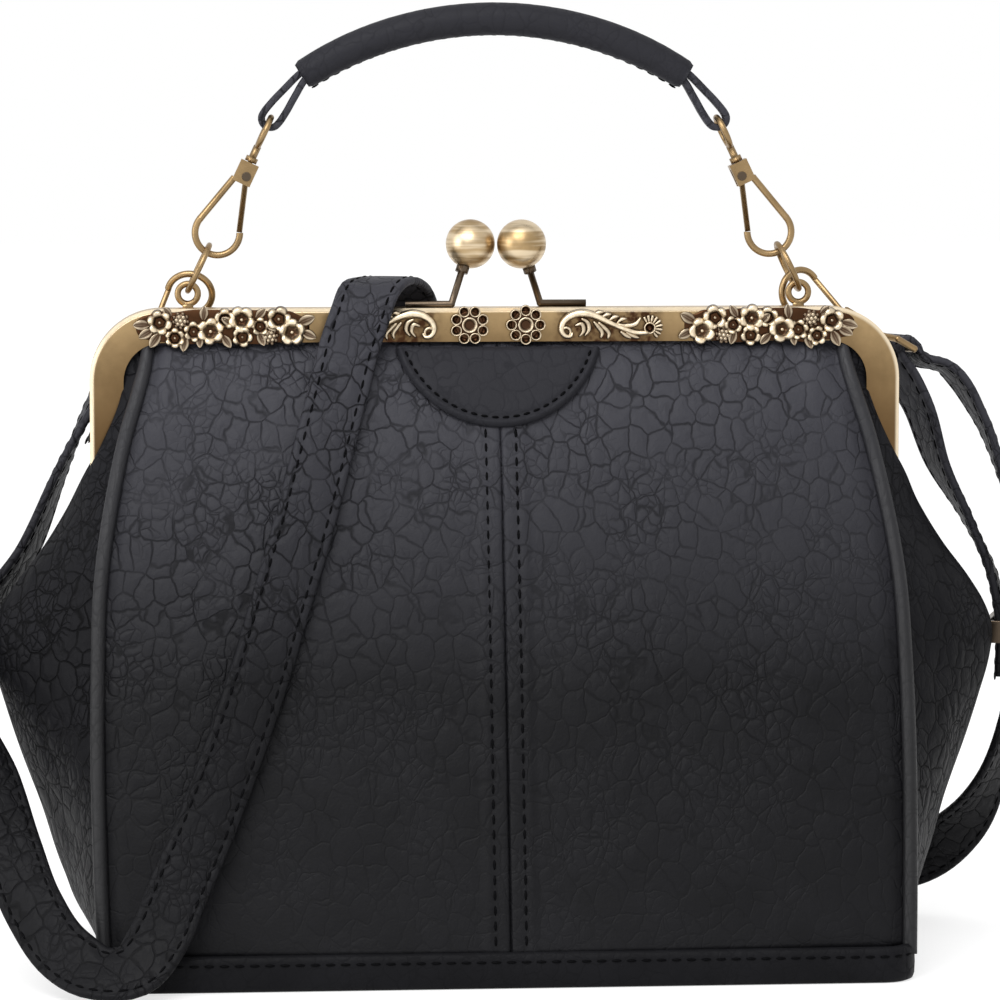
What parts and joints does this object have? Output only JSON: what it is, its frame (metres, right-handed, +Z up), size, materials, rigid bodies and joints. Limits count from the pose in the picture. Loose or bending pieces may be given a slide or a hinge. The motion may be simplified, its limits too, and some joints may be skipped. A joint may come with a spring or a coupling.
{
  "type": "kiss lock frame handbag",
  "caption": "Black leather handbag on an antique brass kiss lock frame, with a short handle on swivel hooks and a long shoulder strap.",
  "frame": {"origin": "middle of the base, where it stands on the table", "axes": "+X to the right and +Z up as the bag is seen from its front, which faces -Y"},
  "size_m": [0.2946, 0.1235, 0.249],
  "materials": {
    "antique_brass": "antique brass, hand-rubbed, satin",
    "pale_brass": "antique brass relief, rubbed bright on its high parts",
    "dark_bronze": "dark bronze wire",
    "black_leather": "black leather with a soft sheen and a crackled grain",
    "lining_cloth": "black woven lining",
    "board": "stiff grey board and cord filling"
  },
  "bodies": {
    "bag": {"back_frame": "antique_brass", "hinge_rivets": "antique_brass", "back_lock_arm": "dark_bronze", "back_lock_ball": "antique_brass", "left_frame_eye": "antique_brass", "right_frame_eye": "antique_brass", "back_crimp_cord": "board", "front_left_panel": "black_leather", "front_right_panel": "black_leather", "back_left_panel": "black_leather", "back_right_panel": "black_leather", "left_gusset": "black_leather", "right_gusset": "black_leather", "base_panel": "black_leather", "base_board": "board", "front_pipings": "black_leather", "back_pipings": "black_leather", "lining_pouch": "lining_cloth", "back_lining_top": "lining_cloth", "left_strap_swivel": "antique_brass", "right_strap_swivel": "antique_brass", "shoulder_strap": "black_leather", "strap_return": "black_leather", "strap_slider": "antique_brass"},
    "front_half": {"front_frame": "antique_brass", "front_lock_arm": "dark_bronze", "front_lock_ball": "antique_brass", "left_flower_spray": "pale_brass", "right_flower_spray": "pale_brass", "left_scroll": "pale_brass", "right_scroll": "pale_brass", "left_rosette": "pale_brass", "right_rosette": "pale_brass", "front_crimp_cord": "board", "front_left_panel_top": "black_leather", "front_right_panel_top": "black_leather", "front_piping_tops": "black_leather", "front_tab": "black_leather", "front_lining_top": "lining_cloth"},
    "left_ring": {"left_jump_ring": "antique_brass"},
    "right_ring": {"right_jump_ring": "antique_brass"},
    "handle": {"handle_grip": "black_leather", "handle_core": "board", "left_handle_loop": "black_leather", "right_handle_loop": "black_leather", "left_handle_swivel": "antique_brass", "right_handle_swivel": "antique_brass"},
    "left_hook": {"left_handle_hook": "antique_brass", "left_handle_hook_rivet": "antique_brass"},
    "right_hook": {"right_handle_hook": "antique_brass", "right_handle_hook_rivet": "antique_brass"},
    "left_gate": {"left_handle_gate": "antique_brass"},
    "right_gate": {"right_handle_gate": "antique_brass"},
    "left_strap_hook_body": {"left_strap_hook": "antique_brass", "left_strap_hook_rivet": "antique_brass"},
    "right_strap_hook_body": {"right_strap_hook": "antique_brass", "right_strap_hook_rivet": "antique_brass"},
    "left_strap_gate_body": {"left_strap_gate": "antique_brass"},
    "right_strap_gate_body": {"right_strap_gate": "antique_brass"}
  },
  "joints": [
    {"name": "front_half_hinge", "type": "hinge", "parent": "bag", "child": "front_half", "pos_m": [0, 0, 0.1255], "axis": [1, 0, 0], "range_deg": [0, 60], "deforming": ["shoulder_strap"]},
    {"name": "left_ring_swing", "type": "hinge", "parent": "bag", "child": "left_ring", "pos_m": [-0.08, 0.0042, 0.1735], "axis": [1, 0, 0], "range_deg": [-5, 5]},
    {"name": "right_ring_swing", "type": "hinge", "parent": "bag", "child": "right_ring", "pos_m": [0.08, 0.0042, 0.1735], "axis": [1, 0, 0], "range_deg": [-5, 5]},
    {"name": "handle_swing", "type": "hinge", "parent": "left_ring", "child": "handle", "pos_m": [0, 0.0042, 0.184], "axis": [1, 0, 0], "range_deg": [-90, 90]},
    {"name": "left_hook_swivel", "type": "hinge", "parent": "handle", "child": "left_hook", "pos_m": [-0.07222, 0.0042, 0.18933], "axis": [0.4258, 0, 0.9048], "range_deg": [-12, 12]},
    {"name": "right_hook_swivel", "type": "hinge", "parent": "handle", "child": "right_hook", "pos_m": [0.07222, 0.0042, 0.18933], "axis": [-0.4258, 0, 0.9048], "range_deg": [-12, 12]},
    {"name": "left_gate_hinge", "type": "hinge", "parent": "left_hook", "child": "left_gate", "pos_m": [-0.0647, 0.0042, 0.20391], "axis": [0, 1, 0], "range_deg": [0, 20], "stiffness_Nm_per_rad": 0.002},
    {"name": "right_gate_hinge", "type": "hinge", "parent": "right_hook", "child": "right_gate", "pos_m": [0.0647, 0.0042, 0.20391], "axis": [0, -1, 0], "range_deg": [0, 20], "stiffness_Nm_per_rad": 0.002},
    {"name": "left_strap_hook_swivel", "type": "hinge", "parent": "bag", "child": "left_strap_hook_body", "pos_m": [-0.0794, 0.009, 0.1733], "axis": [-0.6027, 0.3834, -0.6998], "range_deg": [-4, 4]},
    {"name": "right_strap_hook_swivel", "type": "hinge", "parent": "bag", "child": "right_strap_hook_body", "pos_m": [0.0812, 0.009, 0.1733], "axis": [0.8008, 0.3906, -0.454], "range_deg": [-4, 4]},
    {"name": "left_strap_gate_hinge", "type": "hinge", "parent": "left_strap_hook_body", "child": "left_strap_gate_body", "pos_m": [-0.08976, 0.01519, 0.16218], "axis": [0.105, 0.9075, 0.4067], "range_deg": [0, 20], "stiffness_Nm_per_rad": 0.002},
    {"name": "right_strap_gate_hinge", "type": "hinge", "parent": "right_strap_hook_body", "child": "right_strap_gate_body", "pos_m": [0.09458, 0.01553, 0.16639], "axis": [0.4384, -0.8988, 0], "range_deg": [0, 20], "stiffness_Nm_per_rad": 0.002}
  ],
  "couplings": [
    {"joint": "right_ring_swing", "follows": "left_ring_swing", "ratio": 1}
  ]
}
